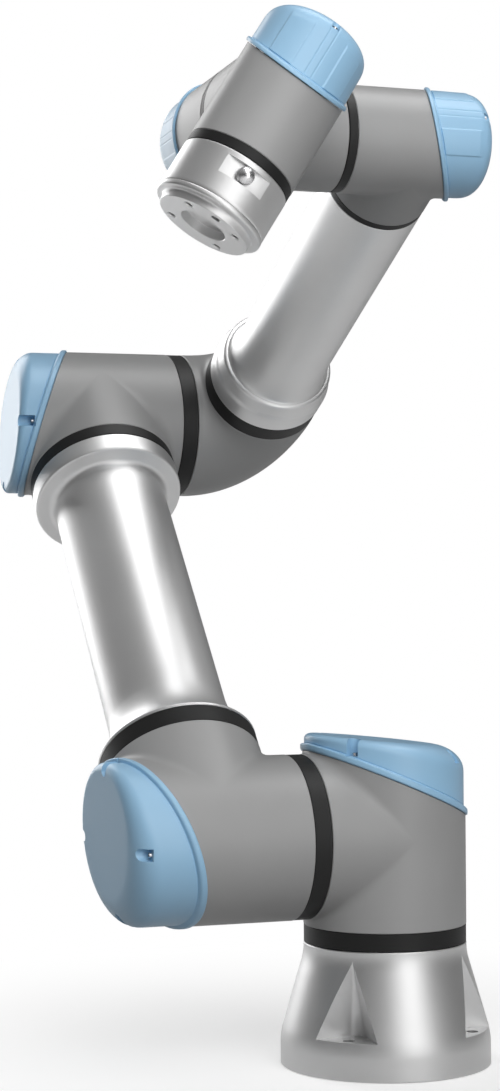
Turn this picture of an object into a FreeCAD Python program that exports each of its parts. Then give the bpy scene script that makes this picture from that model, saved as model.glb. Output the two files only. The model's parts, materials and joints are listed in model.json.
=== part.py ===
# Six-axis collaborative robot arm, 5 kg / 850 mm reach class.
# Units are millimetres, +Z is up, and the origin is the centre of the base mounting face.
# Every joint is a T-shaped cast housing: its output tube runs along the joint axis, its side
# leg runs square to it, and a slanted plastic cap closes the third side.  Each housing holds a
# frameless motor, a hollow rotor, a strain-wave gear and a control board.
import FreeCAD, Part
import math
import os
import Sketcher
from FreeCAD import Vector, Placement, Rotation

doc = FreeCAD.newDocument("CollaborativeArm")
sheet = doc.addObject("Spreadsheet::Sheet", "Dims")

CELLS = [
    # kinematic lengths
    ("base_height", 162.5, "base face to shoulder axis"),
    ("upper_arm_length", 425.0, "shoulder axis to elbow axis"),
    ("forearm_length", 392.2, "elbow axis to wrist 1 axis"),
    ("shoulder_offset", 138.0, "base axis to the middle of the upper arm"),
    ("forearm_offset", 7.0, "base axis to the middle of the forearm"),
    ("wrist_one_offset", 126.3, "forearm middle to wrist 2 axis"),
    ("wrist_two_offset", 99.7, "wrist 1 axis to wrist 3 axis"),
    ("wrist_three_offset", 99.6, "wrist 2 axis to the tool face"),
    # stored pose, degrees
    ("upper_arm_tilt", 46.71, "upper arm above the horizontal"),
    ("forearm_tilt", 26.62, "forearm above the horizontal"),
    ("wrist_tilt", 1.72, "wrist 2 axis above the horizontal"),
    ("wrist_roll", 57.37, "wrist 3 axis below the horizontal"),
    # large joint
    ("big_radius", 58.2, "large housing outside radius"),
    ("big_wall", 4.0, "large housing wall"),
    ("big_output", 63.7, "large housing centre to output face"),
    ("big_leg", 61.5, "large housing centre to side face"),
    ("big_rim", 35.5, "cap rim depth on the axis"),
    ("big_face", 67.0, "cap face depth on the axis"),
    ("big_fillet", 7.0, "blend between the two tubes of a large housing"),
    # small joint
    ("small_radius", 37.1, "small housing outside radius"),
    ("small_wall", 3.0, "small housing wall"),
    ("small_output", 47.5, "small housing centre to output face"),
    ("small_rim", 23.2, "cap rim depth on the axis"),
    ("small_dome", 58.5, "cap tip depth"),
    ("wrist_one_leg", 47.6, "wrist 1 centre to side face"),
    ("wrist_two_leg", 72.0, "wrist 2 centre to side face"),
    ("wrist_three_leg", 45.4, "wrist 3 centre to side face"),
    ("wrist_three_output", 51.8, "wrist 3 centre to output face"),
    ("wrist_three_rim", 18.3, "wrist 3 cap rim depth on the axis"),
    ("wrist_three_dome", 55.5, "wrist 3 cap tip depth"),
    ("rim_slope", 0.425, "slant of every cap rim, rise per unit length"),
    ("face_slope", 0.10, "slant of the large cap face"),
    ("big_lip", 59.7, "large cap lip radius"),
    ("small_lip", 38.9, "small cap lip radius"),
    ("big_cap_radius", 57.0, "large cap wall radius"),
    ("small_cap_radius", 36.5, "small cap wall radius"),
    # seals
    ("seal_inset", 0.2, "seal ring below the housing skin"),
    ("run_gap", 0.3, "gap at a turning face"),
    # foot
    ("foot_radius", 75.0, "base foot outside radius"),
    ("foot_top", 86.0, "base foot height"),
    ("foot_rim", 17.0, "height of the straight rim"),
    ("bolt_circle", 132.0, "base bolt circle diameter"),
    ("bolt_hole", 8.5, "base bolt hole diameter"),
    # tubes
    ("upper_tube_radius", 43.8, "upper arm tube outside radius"),
    ("forearm_tube_radius", 37.0, "forearm tube outside radius"),
    ("forearm_flange_radius", 47.7, "forearm lower flange radius"),
    ("tube_wall", 4.0, "arm tube wall"),
    # tool flange
    ("tool_radius", 37.1, "tool flange body radius"),
    ("tool_face_radius", 31.5, "tool face radius"),
    ("tool_pilot", 31.5, "pilot recess diameter"),
    ("tool_circle", 50.0, "tool bolt circle diameter"),
    ("tool_thread", 5.0, "core diameter of the M6 tool threads"),
    ("tool_dowel", 6.0, "dowel hole diameter"),
]
DIM = {}
for row, (alias, value, note) in enumerate(CELLS, start=1):
    sheet.set("A%d" % row, note)
    sheet.set("B%d" % row, repr(float(value)))
    sheet.setAlias("B%d" % row, alias)
    DIM[alias] = float(value)
doc.recompute()


class Q:
    """A number that also carries its sheet expression."""

    def __init__(self, value, text=None):
        self.v = float(value)
        self.e = text if text is not None else repr(float(value))

    @staticmethod
    def of(item):
        return item if isinstance(item, Q) else Q(item)

    def __add__(self, other):
        other = Q.of(other)
        return Q(self.v + other.v, "(%s + %s)" % (self.e, other.e))

    __radd__ = __add__

    def __sub__(self, other):
        other = Q.of(other)
        return Q(self.v - other.v, "(%s - %s)" % (self.e, other.e))

    def __rsub__(self, other):
        return Q.of(other) - self

    def __mul__(self, other):
        other = Q.of(other)
        return Q(self.v * other.v, "(%s * %s)" % (self.e, other.e))

    __rmul__ = __mul__

    def __neg__(self):
        return Q(-self.v, "(0 - %s)" % self.e)

    def __truediv__(self, other):
        other = Q.of(other)
        return Q(self.v / other.v, "(%s / %s)" % (self.e, other.e))


def d(alias):
    return Q(DIM[alias], "Dims.%s" % alias)


def bind(obj, prop, item):
    item = Q.of(item)
    if "Dims." in item.e:
        obj.setExpression(prop, item.e)
    else:
        target = obj
        names = prop.split(".")
        if len(names) == 1:
            setattr(target, prop, item.v)
        else:
            place = obj.Placement
            base = place.Base
            setattr(base, names[-1], item.v)
            place.Base = base
            obj.Placement = place


COUNT = [0]


def new(kind, stem):
    COUNT[0] += 1
    return doc.addObject(kind, "%s_%d" % (stem, COUNT[0]))


def move(obj, x=0, y=0, z=0, axis=None, angle=0.0):
    if axis is not None:
        obj.Placement = Placement(Vector(0, 0, 0), Rotation(Vector(*axis), angle))
    for name, item in (("x", x), ("y", y), ("z", z)):
        bind(obj, "Placement.Base.%s" % name, item)
    return obj


def cylinder(radius, height, x=0, y=0, z=0, axis=None, angle=0.0):
    obj = new("Part::Cylinder", "cylinder")
    bind(obj, "Radius", radius)
    bind(obj, "Height", height)
    return move(obj, x, y, z, axis, angle)


def cone(lower, upper, height, x=0, y=0, z=0, axis=None, angle=0.0):
    obj = new("Part::Cone", "cone")
    bind(obj, "Radius1", lower)
    bind(obj, "Radius2", upper)
    bind(obj, "Height", height)
    return move(obj, x, y, z, axis, angle)


def box(length, width, height, x=0, y=0, z=0, axis=None, angle=0.0):
    obj = new("Part::Box", "box")
    bind(obj, "Length", length)
    bind(obj, "Width", width)
    bind(obj, "Height", height)
    return move(obj, x, y, z, axis, angle)


def cut(base, tool):
    obj = new("Part::Cut", "cut")
    obj.Base, obj.Tool = base, tool
    return obj


def common(base, tool):
    obj = new("Part::Common", "common")
    obj.Base, obj.Tool = base, tool
    return obj


def fuse(*items):
    obj = new("Part::MultiFuse", "fuse")
    obj.Shapes = list(items)
    return obj


def group(items):
    obj = new("Part::Compound", "group")
    obj.Links = list(items)
    return obj


def fillet(base, radius, chooser):
    """Round the edges of base that chooser picks."""
    doc.recompute()
    picked = [(i, radius, radius) for i, edge in enumerate(base.Shape.Edges, start=1) if chooser(edge)]
    if not picked:
        raise RuntimeError("no edge to round on %s" % base.Name)
    obj = new("Part::Fillet", "fillet")
    obj.Base = base
    obj.Edges = picked
    return obj


def half_space(depth, slope, keep_cap_side, size=400.0):
    """A box that fills one side of the slanted plane z = -(depth + slope * x)."""
    angle = math.degrees(math.atan(Q.of(slope).v))
    obj = new("Part::Box", "slab")
    obj.Length, obj.Width, obj.Height = size, size, size
    turn = Rotation(Vector(0, 1, 0), angle)
    corner = Vector(-size / 2, -size / 2, -size if keep_cap_side else 0.0)
    base = turn.multVec(corner)
    obj.Placement = Placement(Vector(base.x, base.y, base.z - Q.of(depth).v), turn)
    if "Dims." in Q.of(depth).e:
        obj.setExpression("Placement.Base.z", "%r - %s" % (float(base.z), Q.of(depth).e))
    return obj


def origin_plane(body, role):
    for feature in body.Origin.OriginFeatures:
        if feature.Role == role:
            return feature
    raise RuntimeError(role)


def circle_through(p, q, r):
    """Centre and radius of the circle through three points."""
    ax, ay, bx, by = q.x - p.x, q.y - p.y, r.x - p.x, r.y - p.y
    det = 2.0 * (ax * by - ay * bx)
    ux = (by * (ax * ax + ay * ay) - ay * (bx * bx + by * by)) / det
    uy = (ax * (bx * bx + by * by) - bx * (ax * ax + ay * ay)) / det
    return Vector(p.x + ux, p.y + uy, 0), math.hypot(ux, uy)


def heading(centre, point):
    return math.atan2(point.y - centre.y, point.x - centre.x)


def draw(sketch, points):
    """Close a profile through points; a point (x, y, mx, my) is reached by an arc through (mx, my)."""
    count = len(points)
    ids, ends = [], []
    for i in range(count):
        here, there = points[i], points[(i + 1) % count]
        a = Vector(Q.of(here[0]).v, Q.of(here[1]).v, 0)
        b = Vector(Q.of(there[0]).v, Q.of(there[1]).v, 0)
        if len(there) == 4:
            mid = Vector(Q.of(there[2]).v, Q.of(there[3]).v, 0)
            centre, radius = circle_through(a, mid, b)
            start, end = heading(centre, a), heading(centre, b)
            forward = (heading(centre, mid) - start) % (2 * math.pi) < (end - start) % (2 * math.pi)
            if not forward:
                start, end = end, start
            if end < start:
                end += 2 * math.pi
            arc = Part.ArcOfCircle(Part.Circle(centre, Vector(0, 0, 1), radius), start, end)
            index = sketch.addGeometry(arc, False)
            sketch.addConstraint(Sketcher.Constraint("Radius", index, radius))
            ids.append(index)
            ends.append((1, 2) if forward else (2, 1))
        else:
            ids.append(sketch.addGeometry(Part.LineSegment(a, b), False))
            ends.append((1, 2))
    for i in range(count):
        j = (i + 1) % count
        sketch.addConstraint(Sketcher.Constraint("Coincident", ids[i], ends[i][1], ids[j], ends[j][0]))
    for i in range(count):
        px, py = Q.of(points[i][0]), Q.of(points[i][1])
        if abs(px.v) < 1e-9:
            sketch.addConstraint(Sketcher.Constraint("PointOnObject", ids[i], ends[i][0], -2))
        else:
            c = sketch.addConstraint(Sketcher.Constraint("DistanceX", -1, 1, ids[i], ends[i][0], px.v))
            if "Dims." in px.e:
                sketch.setExpression("Constraints[%d]" % c, px.e)
        if abs(py.v) < 1e-9:
            sketch.addConstraint(Sketcher.Constraint("PointOnObject", ids[i], ends[i][0], -1))
        else:
            c = sketch.addConstraint(Sketcher.Constraint("DistanceY", -1, 1, ids[i], ends[i][0], py.v))
            if "Dims." in py.e:
                sketch.setExpression("Constraints[%d]" % c, py.e)


def turned(points, stem="turned"):
    """A body of revolution about Z from a closed (radius, height) profile."""
    body = new("PartDesign::Body", stem)
    sketch = body.newObject("Sketcher::SketchObject", "%s_profile" % body.Name)
    sketch.AttachmentSupport = [(origin_plane(body, "XZ_Plane"), "")]
    sketch.MapMode = "FlatFace"
    draw(sketch, points)
    doc.recompute()
    turn = body.newObject("PartDesign::Revolution", "%s_turn" % body.Name)
    turn.Profile = sketch
    turn.ReferenceAxis = (sketch, ["V_Axis"])
    turn.Angle = 360.0
    doc.recompute()
    return body


def polar_pocket(body, points, count, depth=200.0, circle=None):
    """Cut a pocket through the body from the XY plane both ways, and repeat it round Z."""
    before = body.Shape.Volume
    sketch = body.newObject("Sketcher::SketchObject", "%s_cut" % body.Name)
    sketch.AttachmentSupport = [(origin_plane(body, "XY_Plane"), "")]
    sketch.MapMode = "FlatFace"
    if circle is not None:
        cx, cy, cr = [Q.of(item) for item in circle]
        g = sketch.addGeometry(Part.Circle(Vector(cx.v, cy.v, 0), Vector(0, 0, 1), cr.v), False)
        c = sketch.addConstraint(Sketcher.Constraint("Radius", g, cr.v))
        if "Dims." in cr.e:
            sketch.setExpression("Constraints[%d]" % c, cr.e)
        c = sketch.addConstraint(Sketcher.Constraint("DistanceX", -1, 1, g, 3, cx.v))
        if "Dims." in cx.e:
            sketch.setExpression("Constraints[%d]" % c, cx.e)
        if abs(cy.v) < 1e-9:
            sketch.addConstraint(Sketcher.Constraint("PointOnObject", g, 3, -1))
        else:
            sketch.addConstraint(Sketcher.Constraint("DistanceY", -1, 1, g, 3, cy.v))
    else:
        draw(sketch, points)
    doc.recompute()
    pocket = body.newObject("PartDesign::Pocket", "%s_pocket" % body.Name)
    pocket.Profile = sketch
    pocket.Type = "Length"
    pocket.Length = 2 * depth
    pocket.Midplane = True
    doc.recompute()
    after = pocket.Shape.Volume
    if not after < before - 1e-3:
        raise RuntimeError("pocket cut nothing on %s" % body.Name)
    if count > 1:
        pattern = body.newObject("PartDesign::PolarPattern", "%s_round" % body.Name)
        pattern.Originals = [pocket]
        pattern.Axis = (sketch, ["N_Axis"])
        pattern.Angle = 360.0
        pattern.Occurrences = count
        pattern.Refine = True
        body.Tip = pattern
        doc.recompute()
        if not pattern.Shape.Volume < after - 1e-3:
            raise RuntimeError("pattern cut nothing on %s" % body.Name)
    return body


def frame_at(origin, zdir, xdir):
    zdir = Vector(zdir).normalize()
    xdir = Vector(xdir) - zdir * Vector(xdir).dot(zdir)
    xdir.normalize()
    ydir = zdir.cross(xdir)
    matrix = FreeCAD.Matrix(xdir.x, ydir.x, zdir.x, origin.x,
                            xdir.y, ydir.y, zdir.y, origin.y,
                            xdir.z, ydir.z, zdir.z, origin.z,
                            0, 0, 0, 1)
    return Placement(matrix)


SUBPARTS = []


def finish(obj, label, place=None):
    obj.Label = label
    if place is not None:
        obj.Placement = place
    SUBPARTS.append(obj)
    return obj


# ---------------------------------------------------------------------------------------------
# Skeleton of the stored pose: joint centres and directions.
# ---------------------------------------------------------------------------------------------
X, Y, Z = Vector(1, 0, 0), Vector(0, 1, 0), Vector(0, 0, 1)
a = math.radians(DIM["upper_arm_tilt"])
b = math.radians(DIM["forearm_tilt"])
e = math.radians(DIM["wrist_tilt"])
w = math.radians(DIM["wrist_roll"])
UP_ARM = Vector(-math.cos(a), 0, math.sin(a))          # shoulder towards elbow
FORE = Vector(math.cos(b), 0, math.sin(b))             # elbow towards wrist 1
AXIS5 = Vector(math.cos(e), 0, math.sin(e))            # wrist 2 axis
ACROSS = Vector(-math.sin(e), 0, math.cos(e))
AXIS6 = Y * (-math.cos(w)) - ACROSS * math.sin(w)      # wrist 3 axis, out of the tool face
C1 = Vector(0, 0, DIM["base_height"])
C2 = C1 - Y * DIM["shoulder_offset"]
C3 = C2 + UP_ARM * DIM["upper_arm_length"]
E3 = C3 + Y * (DIM["shoulder_offset"] - DIM["forearm_offset"])
C4 = E3 + FORE * DIM["forearm_length"]
C5 = C4 - Y * DIM["wrist_one_offset"]
C6 = C5 + AXIS5 * DIM["wrist_two_offset"]

F1 = frame_at(C1, -Z, -Y)
F2 = frame_at(C2, Y, UP_ARM)
F3 = frame_at(C3, Y, -UP_ARM)
F4 = frame_at(C4, -Y, -FORE)
F5 = frame_at(C5, AXIS5, Y)
F6 = frame_at(C6, AXIS6, -AXIS5)
FOOT = Placement()
F_UPPER = frame_at(C2, UP_ARM, Y)
F_FORE = frame_at(E3, FORE, Y)
F_TOOL = frame_at(C6, AXIS6, AXIS5)

SLOPE = d("rim_slope")
SCREW_AZ_BIG = (45, 135, 225, 315)
SCREW_AZ_SMALL = (60, 180, 300)


def polar(radius, degrees):
    return radius * math.cos(math.radians(degrees)), radius * math.sin(math.radians(degrees))


# ---------------------------------------------------------------------------------------------
# Cast housings.
# ---------------------------------------------------------------------------------------------
def housing(label, place, radius, wall, output, leg, rim, big):
    ring_seat = 8.0 if big else 6.0
    bore = 40.0 if big else 25.0
    lug_r, lug_at = (5.5, 52.0) if big else (4.5, 31.5)
    main = cylinder(radius, output + 100.0, z=-100.0)
    side = cylinder(radius, leg, axis=(0, 1, 0), angle=90.0)
    outer = fuse(main, side)
    outer = cut(outer, half_space(rim, SLOPE, True))
    inner_main = cylinder(radius - wall, output + (100.0 - ring_seat), z=-100.0)
    inner_side = cylinder(radius - wall, leg - ring_seat, axis=(0, 1, 0), angle=90.0)
    lugs = []
    for az in (SCREW_AZ_BIG if big else SCREW_AZ_SMALL):
        px, py = polar(lug_at, az)
        top = Q.of(rim) + SLOPE * (px - lug_r)
        lugs.append(cylinder(lug_r, 15.0 if big else 14.0, px, py, -(Q.of(rim) + SLOPE * (px + lug_r)) - 2.0))
    shell = cut(outer, fuse(inner_main, inner_side))
    lug_block = common(fuse(*lugs), outer)
    shell = fuse(shell, lug_block)
    tools = [cylinder(bore, output + 10.0), cylinder(bore, leg + 10.0, axis=(0, 1, 0), angle=90.0)]
    for az in (SCREW_AZ_BIG if big else SCREW_AZ_SMALL):
        px, py = polar(lug_at, az)
        tools.append(cylinder(1.7, 14.0, px, py, -(Q.of(rim) + SLOPE * px) - 3.0))
    shell = cut(shell, fuse(*tools))
    return finish(shell, label, place)


housing("base_joint_housing", F1, d("big_radius"), d("big_wall"), d("big_output"), d("big_leg"), d("big_rim"), True)
housing("shoulder_housing", F2, d("big_radius"), d("big_wall"), d("big_output"), d("big_leg"), d("big_rim"), True)
housing("elbow_housing", F3, d("big_radius"), d("big_wall"), d("big_output"), d("big_leg"), d("big_rim"), True)
housing("wrist_1_housing", F4, d("small_radius"), d("small_wall"), d("small_output"), d("wrist_one_leg"), d("small_rim"), False)
housing("wrist_2_housing", F5, d("small_radius"), d("small_wall"), d("small_output"), d("wrist_two_leg"), d("small_rim"), False)
housing("wrist_3_housing", F6, d("small_radius"), d("small_wall"), d("wrist_three_output"), d("wrist_three_leg"), d("wrist_three_rim"), False)


# ---------------------------------------------------------------------------------------------
# Plastic caps.  Large caps end in a slanted flat face, small caps in a dome.
# ---------------------------------------------------------------------------------------------
def lip_ring(radius, rim, thick, bead):
    slab = common(cylinder(radius, 140.0, z=-120.0), half_space(Q.of(rim) + 0.15, SLOPE, True))
    slab = cut(slab, half_space(Q.of(rim) + 0.15 + thick, SLOPE, True))
    return fillet(slab, bead, lambda edge: edge.isClosed() and edge.Length > 1.9 * math.pi * 20)


def big_cap(label, place, rim):
    wall = d("big_cap_radius")
    face = d("big_face")
    body = common(cylinder(wall, 100.0, z=-100.0), half_space(Q.of(rim) + 0.15, SLOPE, True))
    body = cut(body, half_space(face, d("face_slope"), True))
    doc.recompute()
    body = fillet(body, 9.0, lambda edge: edge.isClosed() and edge.BoundBox.ZMax < -face.v + 12.0)
    body = fuse(body, lip_ring(d("big_lip"), rim, 5.0, 1.6))
    hollow = common(cylinder(wall - 2.8, 100.0, z=-100.0), half_space(Q.of(rim) - 6.0, SLOPE, True))
    hollow = cut(hollow, half_space(face - 3.0, d("face_slope"), True))
    doc.recompute()
    hollow = fillet(hollow, 7.0, lambda edge: edge.isClosed() and edge.BoundBox.ZMax < -face.v + 14.0)
    bosses, notches = [], []
    for az in SCREW_AZ_BIG:
        px, py = polar(52.0, az)
        bosses.append(cylinder(7.4, 90.0, px, py, -100.0))
        floor = Q.of(face) + d("face_slope") * px - 12.0
        nx, ny = polar(54.5, az)
        notches.append(cylinder(4.6, 40.0, nx, ny, -floor - 40.0))
        notches.append(cylinder(1.7, 90.0, px, py, -100.0))
    solid_part = fuse(*bosses)
    outline = common(cylinder(wall - 1.0, 100.0, z=-100.0), half_space(Q.of(rim) + 0.15, SLOPE, True))
    outline = cut(outline, half_space(face - 1.5, d("face_slope"), True))
    shell = cut(body, hollow)
    shell = fuse(shell, common(common(solid_part, outline), body))
    shell = cut(shell, fuse(*notches))
    return finish(shell, label, place)


big_cap("base_joint_cap", F1, d("big_rim"))
big_cap("shoulder_cap", F2, d("big_rim"))
big_cap("elbow_cap", F3, d("big_rim"))


def dome_profile(tip, radius, inset):
    """Half section of a dome, from the axis at the tip round to the open side above the rim."""
    t = tip - inset
    r = radius - inset
    k = (radius - inset).v / 36.5
    return [
        (0, -t),
        (r * 0.68, -(t - 2.1 * k), r * 0.35, -(t - 0.30 * k)),
        (r, -(t - 18.0 * k), r * 0.932, -(t - 7.6 * k)),
        (r, 6.0),
        (0, 6.0),
    ]


def small_cap(label, place, rim, tip):
    wall = d("small_cap_radius")
    body = common(turned(dome_profile(tip, wall, 0.0)), half_space(Q.of(rim) + 0.15, SLOPE, True))
    body = fuse(body, lip_ring(d("small_lip"), rim, 3.6, 1.2))
    hollow = turned(dome_profile(tip, wall, 2.4))
    bosses, notches = [], []
    for az in SCREW_AZ_SMALL:
        px, py = polar(31.5, az)
        bosses.append(cylinder(5.0, 90.0, px, py, -90.0))
        floor = Q.of(tip) - 10.5
        nx, ny = polar(32.5, az)
        notches.append(cylinder(3.4, 40.0, nx, ny, -floor - 40.0))
        notches.append(cylinder(1.7, 90.0, px, py, -90.0))
    shell = cut(body, hollow)
    shell = fuse(shell, common(fuse(*bosses), common(turned(dome_profile(tip, wall, 0.8)), half_space(Q.of(rim) + 0.15, SLOPE, True))))
    shell = cut(shell, fuse(*notches))
    return finish(shell, label, place)


small_cap("wrist_1_cap", F4, d("small_rim"), d("small_dome"))
small_cap("wrist_2_cap", F5, d("small_rim"), d("small_dome"))
small_cap("wrist_3_cap", F6, d("wrist_three_rim"), d("wrist_three_dome"))


# ---------------------------------------------------------------------------------------------
# Cap screws: button heads on the notch floors, shanks through to the housing lugs.
# ---------------------------------------------------------------------------------------------
def cap_screws(label, place, rim, at, azimuths, floor_of, head_r):
    screws = []
    for az in azimuths:
        px, py = polar(at, az)
        floor = floor_of(px)
        head = cylinder(head_r, 2.2, px, py, -(Q.of(floor)) - 2.2)
        shank = cylinder(1.45, Q.of(floor) - (Q.of(rim) + SLOPE * px) + 5.0, px, py, -Q.of(floor))
        socket = cylinder(1.3, 1.4, px, py, -(Q.of(floor)) - 2.2)
        screws.append(cut(fuse(head, shank), socket))
    return finish(group(screws), label, place)


def big_floor(px):
    return d("big_face") + d("face_slope") * px - 12.0


for name, place in (("base_cap_screws", F1), ("shoulder_cap_screws", F2), ("elbow_cap_screws", F3)):
    cap_screws(name, place, d("big_rim"), 52.0, SCREW_AZ_BIG, big_floor, 2.0)
cap_screws("wrist_1_cap_screws", F4, d("small_rim"), 31.5, SCREW_AZ_SMALL, lambda px: d("small_dome") - 10.5, 2.0)
cap_screws("wrist_2_cap_screws", F5, d("small_rim"), 31.5, SCREW_AZ_SMALL, lambda px: d("small_dome") - 10.5, 2.0)
cap_screws("wrist_3_cap_screws", F6, d("wrist_three_rim"), 31.5, SCREW_AZ_SMALL, lambda px: d("wrist_three_dome") - 10.5, 2.0)


# ---------------------------------------------------------------------------------------------
# Black seal rings, one at each joint and at each end of the two arm tubes.
# ---------------------------------------------------------------------------------------------
def seal_ring(label, place, radius, start, end, depth):
    radius, start, end = Q.of(radius) - d("seal_inset"), Q.of(start), Q.of(end)
    ring = turned([
        (radius - depth, start),
        (radius - 0.5, start),
        (radius, start + 0.5),
        (radius, end - 0.5),
        (radius - 0.5, end),
        (radius - depth, end),
    ], "seal")
    return finish(ring, label, place)


GAP = d("run_gap")
big_r, small_r = d("big_radius"), d("small_radius")
seal_ring("base_seal_ring", F1, big_r, d("big_output"), d("base_height") - d("foot_top") - GAP, 9.0)
seal_ring("shoulder_seal_ring", F2, big_r, d("big_output"), d("shoulder_offset") - d("big_leg") - GAP, 9.0)
seal_ring("elbow_seal_ring", F3, big_r, d("big_output"), Q(76.2, "76.2"), 9.0)
seal_ring("upper_arm_lower_ring", F_UPPER, big_r, d("big_leg"), 75.5, 9.0)
seal_ring("upper_arm_upper_ring", F_UPPER, big_r, 352.5, d("upper_arm_length") - d("big_leg"), 9.0)
seal_ring("forearm_lower_ring", F_FORE, d("forearm_flange_radius"), 60.8, 76.3, 8.0)
seal_ring("forearm_upper_ring", F_FORE, small_r, 339.1, d("forearm_length") - d("wrist_one_leg"), 7.0)
seal_ring("wrist_1_seal_ring", F4, small_r, d("small_output"), d("wrist_one_offset") - d("wrist_two_leg") - GAP, 7.0)
seal_ring("wrist_2_seal_ring", F5, small_r, d("small_output"), d("wrist_two_offset") - d("wrist_three_leg") - GAP, 7.0)
seal_ring("wrist_3_seal_ring", F6, small_r, d("wrist_three_output"), 58.8, 7.0)

# ---------------------------------------------------------------------------------------------
# Base foot: a flared casting with four pyramid pockets over the mounting bolts.
# ---------------------------------------------------------------------------------------------
foot_r, foot_h = d("foot_radius"), d("foot_top")
foot = turned([
    (44.0, 0),
    (foot_r - 1.0, 0),
    (foot_r, 1.0),
    (foot_r, d("foot_rim") - 2.0),
    (73.0, 29.0, foot_r - 0.55, 22.0),
    (60.6, 70.5),
    (58.2, 81.0, 58.9, 76.0),
    (58.2, foot_h - 0.5),
    (57.7, foot_h),
    (44.0, foot_h),
    (44.0, foot_h - 8.0),
    (51.0, foot_h - 14.0),
    (54.0, 64.0),
    (54.0, 14.0),
    (44.0, 10.0),
], "foot")
pockets = []
for az in (45, 135, 225, 315):
    low = new("Sketcher::SketchObject", "pocket_low")
    high = new("Sketcher::SketchObject", "pocket_high")
    for sk, k, zz in ((low, 1.0, 26.0), (high, 0.03, 80.0)):
        ox = 59.0
        pts = [(-7.5, -6.5), (29.0, -38.4), (29.0, 38.4), (-7.5, 6.5)]
        pts = [(ox + px * k, py * k) for px, py in pts]
        tip = (ox - 11.5 * k, 0.0)
        sk.addGeometry([
            Part.LineSegment(Vector(pts[0][0], pts[0][1], 0), Vector(pts[1][0], pts[1][1], 0)),
            Part.LineSegment(Vector(pts[1][0], pts[1][1], 0), Vector(pts[2][0], pts[2][1], 0)),
            Part.LineSegment(Vector(pts[2][0], pts[2][1], 0), Vector(pts[3][0], pts[3][1], 0)),
            Part.Arc(Vector(pts[3][0], pts[3][1], 0), Vector(tip[0], tip[1], 0), Vector(pts[0][0], pts[0][1], 0)),
        ], False)
        for i in range(3):
            sk.addConstraint(Sketcher.Constraint("Coincident", i, 2, i + 1, 1 if i < 2 else (1 if sk.Geometry[3].StartPoint.distanceToPoint(Vector(pts[3][0], pts[3][1], 0)) < 1e-6 else 2)))
        sk.Placement = Placement(Vector(0, 0, zz), Rotation(Vector(0, 0, 1), az))
    loft = new("Part::Loft", "pocket")
    loft.Sections = [low, high]
    loft.Solid = True
    loft.Ruled = True
    pockets.append(loft)
    hx, hy = polar(DIM["bolt_circle"] / 2, az)
    hole = cylinder(d("bolt_hole") / 2, 60.0, hx, hy, -5.0)
    hole.setExpression("Placement.Base.x", "Dims.bolt_circle / 2 * cos(%d)" % az)
    hole.setExpression("Placement.Base.y", "Dims.bolt_circle / 2 * sin(%d)" % az)
    pockets.append(hole)
# the cast boss that carries each pocket floor inside the hollow foot
bosses = []
for az in (45, 135, 225, 315):
    block = box(34.0, 44.0, 70.0, 0, 0, 0)
    base = Rotation(Vector(0, 0, 1), az).multVec(Vector(45.0, -22.0, 0.0))
    block.Placement = Placement(Vector(base.x, base.y, 6.0), Rotation(Vector(0, 0, 1), az))
    bosses.append(block)
envelope = turned([(0, 0.5), (foot_r - 0.5, 0.5), (foot_r - 0.5, 15.0), (73.4, 22.0), (71.6, 31.0), (60.0, 69.5), (57.7, 79.0), (0, 79.0)], "envelope")
foot_solid = fuse(foot, common(fuse(*bosses), envelope))
socket_hole = cylinder(10.2, 60.0, x=-100.0, z=34.0, axis=(0, 1, 0), angle=90.0)
foot_solid = cut(foot_solid, fuse(*(pockets + [socket_hole])))
finish(foot_solid, "base_foot", FOOT)

# Cable socket in the back of the foot: a round panel connector with a square flange.
barrel = cylinder(10.0, 22.0, x=-80.0, z=34.0, axis=(0, 1, 0), angle=90.0)
flange_plate = cylinder(13.0, 3.0, x=-77.5, z=34.0, axis=(0, 1, 0), angle=90.0)
mouth = cylinder(7.8, 12.0, x=-81.0, z=34.0, axis=(0, 1, 0), angle=90.0)
key_pin = cylinder(2.0, 4.0, x=-72.0, z=34.0, axis=(0, 1, 0), angle=90.0)
outside = turned([(0, 0), (foot_r + 0.5, 0), (foot_r + 0.5, 17.0), (74.4, 26.0), (71.5, 37.0), (61.0, 70.0), (0, 70.0)], "outside")
finish(fuse(cut(fuse(barrel, cut(flange_plate, outside)), mouth), key_pin), "base_cable_socket", FOOT)

# ---------------------------------------------------------------------------------------------
# Arm tubes.
# ---------------------------------------------------------------------------------------------
ut, wall = d("upper_tube_radius"), d("tube_wall")
finish(turned([
    (big_r - 14.0, 75.5),
    (big_r - 0.6, 75.5),
    (big_r, 76.1),
    (big_r, 77.6),
    (big_r - 0.6, 78.4),
    (ut + 3.4, 93.0, 50.3, 84.4),
    (ut, 112.0, 44.6, 102.5),
    (ut, 329.0),
    (ut + 4.0, 334.6, 45.0, 332.6),
    (56.9, 336.0),
    (big_r, 337.2),
    (big_r, 351.9),
    (big_r - 0.6, 352.5),
    (big_r - 14.0, 352.5),
    (big_r - 14.0, 345.0),
    (ut - wall, 332.0),
    (ut - wall, 96.0),
    (big_r - 14.0, 84.0),
], "upper_tube"), "upper_arm_tube", F_UPPER)

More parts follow.
